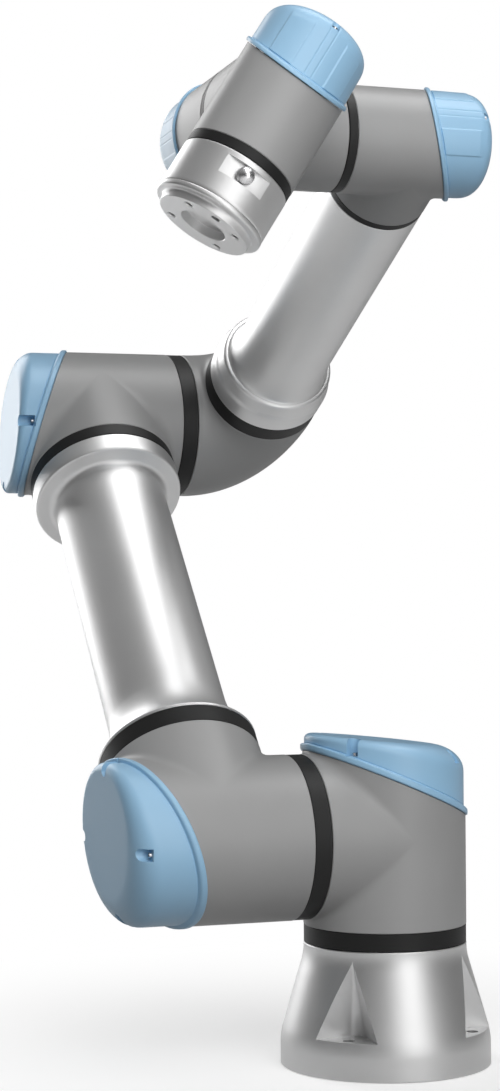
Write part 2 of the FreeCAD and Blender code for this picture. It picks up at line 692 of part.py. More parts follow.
ft, ff = d("forearm_tube_radius"), d("forearm_flange_radius")
finish(turned([
    (ff - 12.0, 76.3),
    (ff - 0.6, 76.3),
    (ff, 76.9),
    (ff, 90.0),
    (ff - 0.9, 92.0),
    (ff - 3.0, 103.4),
    (ff - 4.6, 105.4, ff - 3.5, 104.9),
    (ff - 6.0, 105.8),
    (ff - 6.6, 106.6),
    (ft, 124.0, 38.5, 114.0),
    (ft, 338.6),
    (ft - 0.5, 339.1),
    (ft - 10.0, 339.1),
    (ft - 10.0, 333.0),
    (ft - wall, 327.0),
    (ft - wall, 100.0),
    (ff - 12.0, 88.0),
], "fore_tube"), "forearm_tube", F_FORE)


# Elbow bend: a stub on the elbow axis that turns through a right angle into the forearm, as
# circles that swing about a line just inside the bend while their radius shrinks.
def bend(shrink, hinge_gap, steps=9):
    sections = []
    r0, r1 = big_r - shrink, ff - shrink
    hinge_t = big_r + hinge_gap
    hinge_y = Q(0.0) - (ff + hinge_gap)
    for i in range(steps + 1):
        phi = 0.5 * math.pi * i / steps
        mix = (1.0 - math.cos(math.pi * i / steps)) / 2.0
        r = r0 * (1.0 - mix) + r1 * mix
        reach = (big_r * (1.0 - mix) + ff * mix) + hinge_gap
        circle = new("Part::Circle", "bend_ring")
        bind(circle, "Radius", r)
        # local frame: Z is the forearm direction, X is +Y of the arm (towards the bend's end)
        turn = Rotation(Vector(0, 0, 1), Vector(math.cos(phi), 0, math.sin(phi)))
        circle.Placement = Placement(Vector(0, 0, 0), turn)
        bind(circle, "Placement.Base.x", hinge_y + reach * math.sin(phi))
        bind(circle, "Placement.Base.z", hinge_t - reach * math.cos(phi))
        sections.append(circle)
    loft = new("Part::Loft", "bend")
    loft.Sections = sections
    loft.Solid = True
    loft.Ruled = False
    return loft, hinge_y, hinge_t


HINGE = Q(2.6, "2.6")
skin, hinge_y, hinge_t = bend(Q(0.0), HINGE)
core, _, _ = bend(Q(5.0), HINGE)
start_x = -(d("big_leg") - d("forearm_offset"))               # face towards the elbow seal, along arm +Y
stub = cylinder(big_r, hinge_y - start_x, x=start_x, axis=(0, 1, 0), angle=90.0)
stub_core = cylinder(big_r - 5.0, hinge_y - start_x + 2.0, x=start_x - 2.0, axis=(0, 1, 0), angle=90.0)
finish(cut(cut(fuse(skin, stub), core), stub_core), "elbow_pipe_bend", F_FORE)

# ---------------------------------------------------------------------------------------------
# Tool flange with the standard 50 mm bolt circle, and the parts it carries.
# ---------------------------------------------------------------------------------------------
tr, tf, reach = d("tool_radius"), d("tool_face_radius"), d("wrist_three_offset")
flange = turned([
    (22.0, 58.0),
    (29.0, 58.0),
    (29.0, 59.1),
    (tr - 0.5, 59.1),
    (tr, 59.6),
    (tr, 89.6),
    (tr - 0.4, 90.2),
    (tr + 0.2, 90.8),
    (tr + 0.2, 93.4),
    (tr - 0.6, 94.2),
    (tf + 1.2, 94.2),
    (tf, 95.4, tf + 0.35, 94.55),
    (tf, reach - 0.6),
    (tf - 0.6, reach),
    (d("tool_pilot") / 2, reach),
    (d("tool_pilot") / 2, reach - 6.2),
    (0, reach - 6.2),
    (0, 84.0),
    (22.0, 84.0),
], "tool")
tools = []
for az in (45, 135, 225, 315):
    hole = cylinder(d("tool_thread") / 2, 12.0, 0, 0, reach - 10.0)
    hole.setExpression("Placement.Base.x", "Dims.tool_circle / 2 * cos(%d)" % az)
    hole.setExpression("Placement.Base.y", "Dims.tool_circle / 2 * sin(%d)" % az)
    tools.append(hole)
tools.append(cylinder(d("tool_dowel") / 2, 12.0, d("tool_circle") / 2, 0, reach - 8.0))
tools.append(box(20.0, 32.8, 12.8, 33.6, -16.4, 63.0))
tools.append(cylinder(4.1, 30.0, x=14.0, z=69.4, axis=(0, 1, 0), angle=90.0))
finish(cut(flange, fuse(*tools)), "tool_flange", F_TOOL)

# Tool connector: a short threaded socket with a domed protective cap.
socket = fuse(
    cylinder(4.0, 12.0, x=22.6, z=69.4, axis=(0, 1, 0), angle=90.0),
    cylinder(5.6, 1.2, x=33.6, z=69.4, axis=(0, 1, 0), angle=90.0),
)
ball = new("Part::Sphere", "ball")
ball.Radius = 5.9
move(ball, x=36.0, z=69.4)
ball_cut = box(20.0, 20.0, 20.0, 14.8, -10.0, 60.0)
finish(fuse(socket, cut(ball, ball_cut)), "tool_connector", F_TOOL)

# Force and torque sensor: a spoked ring behind the tool face.
sensor = turned([
    (9.0, 74.5), (21.0, 74.5), (21.0, 83.6), (9.0, 83.6),
], "sensor")
polar_pocket(sensor, None, 4, 200.0, circle=(15.0, 0.0, 3.6))
finish(sensor, "tool_force_sensor", F_TOOL)


# ---------------------------------------------------------------------------------------------
# Joint internals, from the cap to the output face: control board, motor, gear.
# ---------------------------------------------------------------------------------------------
def internals(prefix, place, big, output):
    shift = Q.of(output) - (DIM["big_output"] if big else DIM["small_output"])
    if big:
        cav, stat_o, stat_i, z0, z1 = 54.0, 49.0, 30.0, -6.0, 24.0
        sh_o, sh_i = 12.0, 8.0
        board_z, board_r, board_i = -40.0, 44.0, 14.0
        seat = d("big_output") - 8.0
        slots, tooth = 12, (31.5, 43.0, 4.2)
        hub, hub_z = 38.6, 28.0
    else:
        cav, stat_o, stat_i, z0, z1 = 33.9, 26.8, 18.5, -6.0, 14.0
        sh_o, sh_i = 8.0, 5.4
        board_z, board_r, board_i = -24.0, 25.5, 9.5
        seat = d("small_output") - 6.0
        slots, tooth = 9, (19.5, 24.3, 3.4)
        hub, hub_z = 23.8, 17.0
    # stator: laminated ring with winding slots
    stator = turned([(stat_i, z0), (stat_o, z0), (stat_o, z1), (stat_i, z1)], "stator")
    polar_pocket(stator, [(tooth[0], -tooth[2]), (tooth[1], -tooth[2] * 1.25), (tooth[1], tooth[2] * 1.25), (tooth[0], tooth[2])], slots)
    finish(stator, "%s_motor_stator" % prefix, place)
    # rotor: hollow shaft, magnet ring, and the wave generator at its output end
    wave = hub * 0.62
    rotor = turned([
        (sh_i, board_z - 4.0), (sh_o - 1.0, board_z - 4.0), (sh_o - 1.0, z0 - 3.0), (sh_o + 1.5, z0 - 3.0),
        (sh_o + 1.5, z0 + 2.0), (stat_i - 0.6, z0 + 2.0), (stat_i - 0.6, z1 - 2.0), (sh_o + 1.5, z1 - 2.0),
        (sh_o, hub_z), (sh_o, hub_z + 3.0), (wave, hub_z + 3.0), (wave, hub_z + 8.0), (sh_o, hub_z + 8.0),
        (sh_o, seat - 1.0), (sh_i, seat - 1.0),
    ], "rotor")
    finish(rotor, "%s_motor_rotor" % prefix, place)
    # strain-wave gear: circular spline, flexible cup and output hub as one cartridge
    gear = turned([
        (wave + 0.6, hub_z + 1.5), (cav - 0.4, hub_z + 1.5), (cav - 0.4, seat), (hub, seat),
        (hub, seat + (7.0 if big else 5.0)), (sh_o + 0.8, seat + (7.0 if big else 5.0)),
        (sh_o + 0.8, hub_z + 10.5), (wave + 0.6, hub_z + 10.5),
    ], "gear")
    polar_pocket(gear, None, 8, 200.0, circle=((cav + hub) / 2.0, 0.0, 1.8 if big else 1.3))
    finish(gear, "%s_strain_gear" % prefix, place)
    # control board: disc with connectors, capacitors and three standoffs to the stator
    disc = cut(cylinder(board_r, 1.6, z=board_z), cylinder(board_i, 4.0, z=board_z - 1.0))
    bits = [disc]
    for az in (30, 150, 270):
        px, py = polar(board_r - 4.5, az)
        bits.append(cylinder(2.4, z0 - board_z - 1.6 + 0.001, px, py, board_z + 1.6))
    scale = board_r / 44.0
    for px, py, sx, sy, sz in ((20, 10, 14, 8, 6), (-30, 8, 9, 14, 5), (6, -34, 16, 7, 7), (-22, -26, 8, 8, 4), (12, 24, 7, 10, 3)):
        bits.append(box(sx * scale, sy * scale, sz * scale + 0.2, px * scale, py * scale, board_z - sz * scale))
    finish(fuse(*bits), "%s_control_board" % prefix, place)


internals("base", F1, True, d("big_output"))
internals("shoulder", F2, True, d("big_output"))
internals("elbow", F3, True, d("big_output"))
internals("wrist_1", F4, False, d("small_output"))
internals("wrist_2", F5, False, d("small_output"))
internals("wrist_3", F6, False, d("small_output"))

# ---------------------------------------------------------------------------------------------
# Checks and export.
# ---------------------------------------------------------------------------------------------
doc.recompute()
for obj in doc.Objects:
    if "Invalid" in obj.State or "Error" in obj.State:
        raise RuntimeError("%s (%s) is %s" % (obj.Name, obj.Label, obj.State))
labels = [obj.Label for obj in SUBPARTS]
if len(set(labels)) != len(labels) or len(labels) > 60:
    raise RuntimeError("labels: %d, different: %d" % (len(labels), len(set(labels))))
for obj in SUBPARTS:
    shape = obj.Shape
    if shape.isNull() or not shape.isValid():
        raise RuntimeError("%s has a bad shape" % obj.Label)
    if not shape.Solids:
        raise RuntimeError("%s has no solid" % obj.Label)
os.makedirs("parts", exist_ok=True)
for obj in SUBPARTS:
    obj.Shape.exportStep("parts/%s.step" % obj.Label)
    print("%-26s solids %d  volume %.1f cm3" % (obj.Label, len(obj.Shape.Solids), obj.Shape.Volume / 1000.0))
print("sub-parts:", len(SUBPARTS))
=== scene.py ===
import bpy
import bmesh
import json
import math
import numpy as np
from mathutils import Matrix, Vector


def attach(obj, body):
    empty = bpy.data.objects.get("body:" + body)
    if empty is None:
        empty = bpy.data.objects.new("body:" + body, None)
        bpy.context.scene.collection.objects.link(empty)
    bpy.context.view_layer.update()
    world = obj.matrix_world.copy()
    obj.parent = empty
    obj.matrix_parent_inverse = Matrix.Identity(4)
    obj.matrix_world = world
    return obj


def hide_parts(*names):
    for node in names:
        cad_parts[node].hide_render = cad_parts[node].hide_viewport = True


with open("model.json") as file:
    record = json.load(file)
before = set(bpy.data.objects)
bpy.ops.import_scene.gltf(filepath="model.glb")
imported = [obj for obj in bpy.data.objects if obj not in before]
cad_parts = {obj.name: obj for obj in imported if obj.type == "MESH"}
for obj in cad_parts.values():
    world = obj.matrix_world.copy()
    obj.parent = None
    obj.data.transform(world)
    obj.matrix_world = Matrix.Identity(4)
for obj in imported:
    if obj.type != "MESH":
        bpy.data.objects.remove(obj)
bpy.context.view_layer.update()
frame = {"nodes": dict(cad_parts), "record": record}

MM = 0.001
record = frame["record"]
JOINTS = {j["name"]: j for j in record["behaviour"]["joints"]}


def vec(v):
    return Vector((float(v[0]), float(v[1]), float(v[2])))


# ------------------------------------------------------------------------------------------
# Skeleton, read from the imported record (millimetres here, metres in the meshes).
# ------------------------------------------------------------------------------------------
def centre(name):
    return vec(JOINTS[name]["pos_m"]) * 1000.0


C1, C2, C3 = centre("base_joint"), centre("shoulder_joint"), centre("elbow_joint")
C4, C5, C6 = centre("wrist_1_joint"), centre("wrist_2_joint"), centre("wrist_3_joint")
X, Y, Z = Vector((1, 0, 0)), Vector((0, 1, 0)), Vector((0, 0, 1))
UP_ARM = (C3 - C2).normalized()
E3 = Vector((C3.x, C4.y, C3.z))
FORE = (C4 - E3).normalized()
AXIS5 = vec(JOINTS["wrist_2_joint"]["axis"]).normalized()
AXIS6 = vec(JOINTS["wrist_3_joint"]["axis"]).normalized()


def frame_at(origin, zdir, xdir):
    z = zdir.normalized()
    x = (xdir - z * xdir.dot(z)).normalized()
    y = z.cross(x)
    return Matrix(((x.x, y.x, z.x, origin.x), (x.y, y.y, z.y, origin.y), (x.z, y.z, z.z, origin.z), (0, 0, 0, 1)))


F1 = frame_at(C1, -Z, -Y)
F2 = frame_at(C2, Y, UP_ARM)
F3 = frame_at(C3, Y, -UP_ARM)
F4 = frame_at(C4, -Y, -FORE)
F5 = frame_at(C5, AXIS5, Y)
F6 = frame_at(C6, AXIS6, -AXIS5)
F_FOOT = Matrix.Identity(4)
F_UPPER = frame_at(C2, UP_ARM, Y)
F_FORE = frame_at(E3, FORE, Y)
F_TOOL = frame_at(C6, AXIS6, AXIS5)

SLOPE = 0.425


# ------------------------------------------------------------------------------------------
# Mesh helpers.
# ------------------------------------------------------------------------------------------
def mesh_object(name, verts, faces, place, weld=0.004, sharp=32.0):
    """Millimetre vertices in a local frame become a welded, outward-facing mesh in metres."""
    mesh = bpy.data.meshes.new(name)
    mesh.from_pydata([tuple(v) for v in verts], [], faces)
    bm = bmesh.new()
    bm.from_mesh(mesh)
    bmesh.ops.remove_doubles(bm, verts=bm.verts, dist=weld)
    bmesh.ops.dissolve_degenerate(bm, edges=bm.edges, dist=weld * 0.5)
    bmesh.ops.recalc_face_normals(bm, faces=bm.faces)
    bm.to_mesh(mesh)
    bm.free()
    obj = bpy.data.objects.new(name, mesh)
    bpy.context.scene.collection.objects.link(obj)
    mesh.transform(place)
    mesh.transform(Matrix.Diagonal((MM, MM, MM, 1.0)))
    smooth(obj, sharp)
    return obj


def smooth(obj, sharp=32.0):
    for poly in obj.data.polygons:
        poly.use_smooth = True
    obj.data.set_sharp_from_angle(angle=math.radians(sharp))


def grid_faces(rows, cols, start=0, wrap=False):
    faces = []
    last = cols if wrap else cols - 1
    for i in range(rows - 1):
        for j in range(last):
            k = (j + 1) % cols
            faces.append((start + i * cols + j, start + i * cols + k, start + (i + 1) * cols + k, start + (i + 1) * cols + j))
    return faces


def lathe(name, profile, place, segments=192, closed=False, sharp=32.0):
    """Turn a (radius, height) profile about local Z.  Ends on the axis close the solid."""
    verts, faces = [], []
    n = len(profile)
    for r, z in profile:
        for j in range(segments):
            t = 2 * math.pi * j / segments
            verts.append((r * math.cos(t), r * math.sin(t), z))
    faces = grid_faces(n, segments, wrap=True)
    if closed:
        for j in range(segments):
            k = (j + 1) % segments
            faces.append(((n - 1) * segments + j, (n - 1) * segments + k, k, j))
    return mesh_object(name, verts, faces, place, sharp=sharp)


def arc(cx, cy, r, a0, a1, steps):
    return [(cx + r * math.cos(math.radians(a0 + (a1 - a0) * i / steps)), cy + r * math.sin(math.radians(a0 + (a1 - a0) * i / steps))) for i in range(steps + 1)]


def spline(points, steps=8, ends=True):
    """A smooth monotone-ish curve through (x, y) points (Catmull-Rom)."""
    pts = [Vector((p[0], p[1])) for p in points]
    out = []
    for i in range(len(pts) - 1):
        p0 = pts[i - 1] if i > 0 else pts[i] * 2 - pts[i + 1]
        p1, p2 = pts[i], pts[i + 1]
        p3 = pts[i + 2] if i + 2 < len(pts) else pts[i + 1] * 2 - pts[i]
        for k in range(steps):
            t = k / steps
            q = 0.5 * ((2 * p1) + (p2 - p0) * t + (2 * p0 - 5 * p1 + 4 * p2 - p3) * t * t + (3 * p1 - p0 - 3 * p2 + p3) * t ** 3)
            out.append((q.x, q.y))
    out.append((pts[-1].x, pts[-1].y))
    return out


def boolean_cut(obj, tools, sharp=32.0):
    for tool in tools:
        mod = obj.modifiers.new("cut", "BOOLEAN")
        mod.operation = "DIFFERENCE"
        mod.solver = "EXACT"
        mod.object = tool
    graph = bpy.context.evaluated_depsgraph_get()
    graph.update()
    mesh = bpy.data.meshes.new_from_object(obj.evaluated_get(graph))
    mesh.name = obj.name
    obj.modifiers.clear()
    old = obj.data
    obj.data = mesh
    bpy.data.meshes.remove(old)
    for tool in tools:
        data = tool.data
        bpy.data.objects.remove(tool)
        bpy.data.meshes.remove(data)
    bm = bmesh.new()
    bm.from_mesh(mesh)
    bmesh.ops.remove_doubles(bm, verts=bm.verts, dist=1e-6)
    bmesh.ops.dissolve_degenerate(bm, edges=bm.edges, dist=1e-6)
    bm.to_mesh(mesh)
    bm.free()
    smooth(obj, sharp)
    return obj


def rod_tool(radius, z0, z1, x, y, place, segments=40, flare=None):
    """A plain cutting rod along local Z; flare rounds its mouth outwards at z0."""
    prof = [(0.0, z0), (radius, z0), (radius, z1), (0.0, z1)]
    if flare:
        prof = [(0.0, z0 - flare), (radius + flare * 1.3, z0 - flare), (radius + flare * 0.5, z0), (radius + flare * 0.12, z0 + flare * 0.7), (radius, z0 + flare * 1.4), (radius, z1), (0.0, z1)]
    return lathe("tool", prof, place @ Matrix.Translation(Vector((x, y, 0))), segments=segments)


# ------------------------------------------------------------------------------------------
# Cast T-housing with a blended crease between its two tubes.
# ------------------------------------------------------------------------------------------
def t_housing(name, place, R, out, leg, rim, blend0, blend1):
    half = 72
    n1, n2, n3 = 14, 8, 14
    verts, faces = [], []

    def radius_at(theta):
        return blend0 + (blend1 - blend0) * math.sin(theta) ** 2

    def add_grid(rows):
        start = len(verts)
        cols = len(rows[0])
        for row in rows:
            verts.extend(row)
        faces.extend(grid_faces(len(rows), cols, start))

    for side in (-1.0, 1.0):
        rows = []
        far = -112.0 if side < 0 else out
        for i in range(2 * half + 1):
            theta = -math.pi / 2 + math.pi * i / (2 * half)
            c, s = math.cos(theta), math.sin(theta)
            if abs(c) < 1e-9:
                c = 0.0
            r = radius_at(theta)
            zc = side * (R + r) * c
            row = []
            if side > 0:
                row.append((0.0, 0.0, out))
                row.append(((R - 0.5) * c, (R - 0.5) * s, out))
                top = out - 0.5
            else:
                top = far
            for k in range(n1 + 1):
                row.append((R * c, R * s, top + (zc - top) * k / n1))
            if c > 1e-6:
                a0 = Vector((-c, -s, 0.0))
                b0 = Vector((0.0, -s, -side * c))
            else:
                a0 = b0 = Vector((0.0, -s, 0.0))
            ball = Vector(((R + r) * c, (R + r) * s, zc))
            for k in range(1, n2):
                t = k / n2
                m = a0.lerp(b0, t)
                if m.length > 1e-9 and c > 1e-6:
                    ang = a0.angle(b0)
                    m = (a0 * math.sin((1 - t) * ang) + b0 * math.sin(t * ang)) / math.sin(ang)
                row.append(tuple(ball + m * r))
            xc = (R + r) * c
            for k in range(n3 + 1):
                row.append((xc + (leg - 0.5 - xc) * k / n3, R * s, side * R * c))
            row.append((leg, (R - 0.5) * s, side * (R - 0.5) * c))
            row.append((leg, 0.0, 0.0))
            rows.append(row)
        add_grid(rows)
    rows = []
    for i in range(2 * half + 1):
        theta = math.pi / 2 + math.pi * i / (2 * half)
        c, s = math.cos(theta), math.sin(theta)
        if abs(c) < 1e-9:
            c = 0.0
        row = [(0.0, 0.0, out), ((R - 0.5) * c, (R - 0.5) * s, out)]
        top = out - 0.5
        for k in range(n1 + 1):
            row.append((R * c, R * s, top + (0.0 - top) * k / n1))
        for k in range(1, n1 + 1):
            row.append((R * c, R * s, -112.0 * k / n1))
        rows.append(row)
    add_grid(rows)

    mesh = bpy.data.meshes.new(name)
    mesh.from_pydata([tuple(v) for v in verts], [], faces)
    bm = bmesh.new()
    bm.from_mesh(mesh)
    bmesh.ops.remove_doubles(bm, verts=bm.verts, dist=0.01)
    normal = Vector((-SLOPE, 0.0, -1.0)).normalized()
    bmesh.ops.bisect_plane(bm, geom=bm.verts[:] + bm.edges[:] + bm.faces[:], plane_co=(0, 0, -rim), plane_no=normal, clear_outer=True, dist=1e-4)
    border = [e for e in bm.edges if e.is_boundary]
    bmesh.ops.holes_fill(bm, edges=border, sides=0)
    bmesh.ops.dissolve_degenerate(bm, edges=bm.edges, dist=0.005)
    bmesh.ops.recalc_face_normals(bm, faces=bm.faces)
    bm.to_mesh(mesh)
    bm.free()
    obj = bpy.data.objects.new(name, mesh)
    bpy.context.scene.collection.objects.link(obj)
    mesh.transform(place)
    mesh.transform(Matrix.Diagonal((MM, MM, MM, 1.0)))
    smooth(obj, 40.0)
    return obj


# ------------------------------------------------------------------------------------------
# Caps.
# ------------------------------------------------------------------------------------------
def big_cap(name, place, rim):
    wall, face, fslope = 57.0, 67.0, 0.10
    seg = 288
    verts = []
    gap = 0.35

    def rimd(x):
        return rim + SLOPE * x

    def faced(x):
        return face + fslope * x

    table = []
    for j in range(seg):
        phi = 2 * math.pi * j / seg
        c, s = math.cos(phi), math.sin(phi)
        far = (1 - c) / 2
        rho = 4.5 + 14.0 * far ** 1.2
        wide = rho * 1.25
        col = []

        def lip(r, up):
            x = r * c
            col.append((r * c, r * s, -(rimd(x) + gap + up)))

        lip(52.0, 0.0)
        lip(58.3, 0.0)
        for px, py in arc(58.3, 1.4, 1.4, -90, 0, 5)[1:]:
            lip(px, py)
        lip(59.7, 3.2)
        for px, py in arc(58.1, 3.4, 1.6, 0, 75, 5)[1:]:
            lip(px, py)
        lip(57.6, 5.05)
        lip(56.75, 5.3)
        lip(56.6, 5.9)
        lip(wall, 6.4)
        x = wall * c
        low = rimd(x) + gap + 6.4
        top = faced(x) - rho
        top = max(top, low + 0.4)
        for k in range(1, 13):
            d = low + (top - low) * k / 12
            col.append((wall * c, wall * s, -d))
        height = faced(x) - top
        for k in range(1, 15):
            a = math.pi / 2 * k / 14
            r = wall - wide * (1 - math.cos(a))
            d = top + (faced(r * c) - top) * math.sin(a) ** 0.92 if k < 14 else faced(r * c)
            d = min(d, faced(r * c))
            col.append((r * c, r * s, -d))
        inner = wall - wide
        for k in range(1, 9):
            r = inner * (1 - k / 9)
            col.append((r * c, r * s, -faced(r * c)))
        col.append((0.0, 0.0, -face))
        table.append(col)
    rows = len(table[0])
    for i in range(rows):
        for j in range(seg):
            verts.append(table[j][i])
    faces = grid_faces(rows, seg, wrap=True)
    faces.append(tuple(range(seg)))
    obj = mesh_object(name, verts, faces, place, weld=0.003, sharp=28.0)
    tools = []
    for az in (45, 135, 225, 315):
        t = math.radians(az)
        px, py = 54.0 * math.cos(t), 54.0 * math.sin(t)
        floor = face + fslope * 52.0 * math.cos(t) - 12.0
        tools.append(slot_tool(4.2, az, 51.6, 64.0, -130.0, -floor, place))
    return boolean_cut(obj, tools, 30.0)


def slot_tool(r, az, near, far, z0, z1, place):
    """A U-shaped cutter: round at radius `near` from the axis, straight out past the wall."""
    outline = []
    for i in range(17):
        a = math.radians(90 + 180 * i / 16)
        outline.append((near + r * math.cos(a), r * math.sin(a)))
    outline.append((far, -r))
    outline.append((far, r))
    n = len(outline)
    verts = [(x, y, z0) for x, y in outline] + [(x, y, z1) for x, y in outline]
    faces = [tuple(range(n)), tuple(range(2 * n - 1, n - 1, -1))]
    for i in range(n):
        k = (i + 1) % n
        faces.append((i, k, n + k, n + i))
    turn = place @ Matrix.Rotation(math.radians(az), 4, "Z")
    return mesh_object("tool", verts, faces, turn)


def dome_table(tip, wall):
    """Depth and radius along a small cap's outline, from the open side to the tip."""
    start = tip - 18.0
    out = [(0.0, wall + 0.35), (start - 14.0, wall + 0.2), (start - 5.0, wall + 0.02)]
    for k in range(0, 121):
        a = math.pi / 2 * (k / 120)
        d = start + 18.0 * math.sin(a) ** (2 / 3.0)
        r = wall * max(math.cos(a), 0.0) ** (2 / 3.0)
        out.append((d, r))
    return out


def small_cap(name, place, rim, tip):
    wall = 36.3
    seg = 600
    gap = 0.3
    prof = dome_table(tip, wall)
    dist = [0.0]
    for a, b in zip(prof, prof[1:]):
        dist.append(dist[-1] + math.hypot(b[0] - a[0], b[1] - a[1]))
    depth = [p[0] for p in prof]
    rad = [p[1] for p in prof]

    def rimd(x):
        return rim + SLOPE * x

    table = []
    for j in range(seg):
        phi = 2 * math.pi * j / seg
        c, s = math.cos(phi), math.sin(phi)
        deg = math.degrees(phi)
        col = []

        def lip(r, up):
            col.append((r * c, r * s, -(rimd(r * c) + gap + up)))

        lip(32.0, 0.0)
        lip(37.9, 0.0)
        for px, py in arc(37.9, 1.0, 1.0, -90, 0, 4)[1:]:
            lip(px, py)
        lip(38.9, 2.0)
        for px, py in arc(37.7, 2.2, 1.2, 0, 75, 4)[1:]:
            lip(px, py)
        lip(37.2, 3.4)
        lip(36.35, 3.6)
        lip(36.3, 4.1)
        d0 = rimd(36.4 * c) + gap + 4.5
        s0 = float(np.interp(d0, depth, dist))
        n = 56
        for k in range(n + 1):
            q = s0 + (dist[-1] - s0) * (k / n)
            dd = float(np.interp(q, dist, depth))
            rr = float(np.interp(q, dist, rad))
            # raised strip that leads to the screw notch, and a shallow panel on each side of it
            off = 0.0
            if rr > 27.0:
                side = abs(((deg - 180.0) + 180.0) % 360.0 - 180.0) * math.pi / 180.0 * rr
                edge = 0.16
                groove = math.exp(-((side - 2.6) / 0.42) ** 2)
                off -= 0.30 * groove
                for mid, lo, hi in ((146.0, -9.0, 9.0), (214.0, -9.0, 9.0)):
                    u = (((deg - mid) + 180.0) % 360.0 - 180.0) * math.pi / 180.0 * rr
                    top = tip - 14.5
                    inside = 1.0 / (1.0 + math.exp(-(u - lo) / edge)) / (1.0 + math.exp((u - hi) / edge)) / (1.0 + math.exp((dd - top) / 0.35))
                    off += 0.6 * inside
            if k == n:
                rr = 0.0
                off = 0.0
            col.append(((rr + off) * c, (rr + off) * s, -dd))
        table.append(col)
    rows = len(table[0])
    verts = []
    for i in range(rows):
        for j in range(seg):
            verts.append(table[j][i])
    faces = grid_faces(rows, seg, wrap=True)
    faces.append(tuple(range(seg)))
    obj = mesh_object(name, verts, faces, place, weld=0.003, sharp=30.0)
    tools = []
    for az in (60, 180, 300):
        tools.append(slot_tool(2.7, az, 31.2, 45.0, -100.0, -(tip - 10.5), place))
    return boolean_cut(obj, tools, 30.0)


def replace(obj, node):
    body = None
    for name, members in record["behaviour"]["bodies"].items():
        if node in members:
            body = name
    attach(obj, body)
    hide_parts(node)
    return obj


PIECES = {}

for node, place, R, out, leg, rim, b0, b1 in (
    ("base_joint_housing", F1, 58.2, 63.7, 61.5, 35.5, 2.4, 17.0),
    ("shoulder_housing", F2, 58.2, 63.7, 61.5, 35.5, 2.4, 17.0),
    ("elbow_housing", F3, 58.2, 63.7, 61.5, 35.5, 2.4, 17.0),
    ("wrist_1_housing", F4, 37.1, 47.5, 47.6, 23.2, 4.0, 12.0),
    ("wrist_2_housing", F5, 37.1, 47.5, 72.0, 23.2, 4.0, 12.0),
    ("wrist_3_housing", F6, 37.1, 51.8, 45.4, 18.3, 4.0, 12.0),
):
    obj = t_housing(node.replace("housing", "casting"), place, R, out, leg, rim, b0, b1)
    PIECES[node] = replace(obj, node)

for node, place in (("base_joint_cap", F1), ("shoulder_cap", F2), ("elbow_cap", F3)):
    PIECES[node] = replace(big_cap(node + "_cover", place, 35.5), node)
for node, place, rim, tip in (("wrist_1_cap", F4, 23.2, 58.5), ("wrist_2_cap", F5, 23.2, 58.5), ("wrist_3_cap", F6, 18.3, 55.5)):
    PIECES[node] = replace(small_cap(node + "_cover", place, rim, tip), node)


# ------------------------------------------------------------------------------------------
# Tubes, elbow bend, foot and tool flange.
# ------------------------------------------------------------------------------------------
def bezier(p0, p1, p2, steps):
    """Quadratic curve from p0 to p2 that leaves and arrives along the lines through p1."""
    out = []
    for i in range(steps + 1):
        t = i / steps
        out.append(((1 - t) ** 2 * p0[0] + 2 * t * (1 - t) * p1[0] + t * t * p2[0], (1 - t) ** 2 * p0[1] + 2 * t * (1 - t) * p1[1] + t * t * p2[1]))
    return out


def ribbon(p, q, steps):
    return [(p[0] + (q[0] - p[0]) * i / steps, p[1] + (q[1] - p[1]) * i / steps) for i in range(steps + 1)]


upper = [(44.2, 75.5), (57.6, 75.5)] + arc(57.6, 76.0, 0.5, -60, 0, 3) + [(58.1, 77.2)] + arc(57.5, 77.4, 0.6, 0, 80, 4)
upper += bezier((57.2, 78.1), (45.4, 84.6), (43.9, 112.0), 22)
upper += ribbon((43.9, 112.0), (43.9, 327.0), 26)[1:]
upper += bezier((43.9, 327.0), (44.1, 333.6), (49.2, 334.6), 10)[1:]
upper += ribbon((49.2, 334.6), (56.4, 336.0), 5)[1:] + bezier((56.4, 336.0), (58.0, 336.3), (58.1, 338.0), 6)[1:]
upper += [(58.1, 343.0), (58.1, 350.6)] + arc(57.5, 351.4, 0.6, 0, 80, 4) + [(56.9, 352.5), (44.2, 352.5), (44.2, 345.0), (41.0, 332.0), (41.0, 96.0), (44.2, 84.0)]
PIECES["upper_arm_tube"] = replace(lathe("upper_arm_pipe", upper, F_UPPER, 224, closed=True, sharp=24.0), "upper_arm_tube")

fore = [(36.0, 76.3), (47.1, 76.3)] + arc(47.1, 76.9, 0.6, -70, 0, 3) + [(47.7, 78.0), (47.7, 88.6)]
fore += bezier((47.7, 88.6), (47.7, 91.6), (46.6, 93.2), 6)[1:] + ribbon((46.6, 93.2), (45.0, 102.4), 3)[1:]
fore += bezier((45.0, 102.4), (44.6, 105.2), (42.6, 105.5), 6)[1:] + [(41.6, 105.7)]
fore += bezier((41.4, 106.2), (38.4, 107.4), (37.0, 124.0), 14)
fore += ribbon((37.0, 124.0), (36.95, 338.0), 24)[1:] + arc(36.4, 338.5, 0.55, 0, 80, 4) + [(36.0, 339.1), (27.5, 339.1), (27.5, 333.0), (34.0, 327.0), (34.0, 100.0), (36.0, 88.0)]
PIECES["forearm_tube"] = replace(lathe("forearm_pipe", fore, F_FORE, 208, closed=True, sharp=24.0), "forearm_tube")


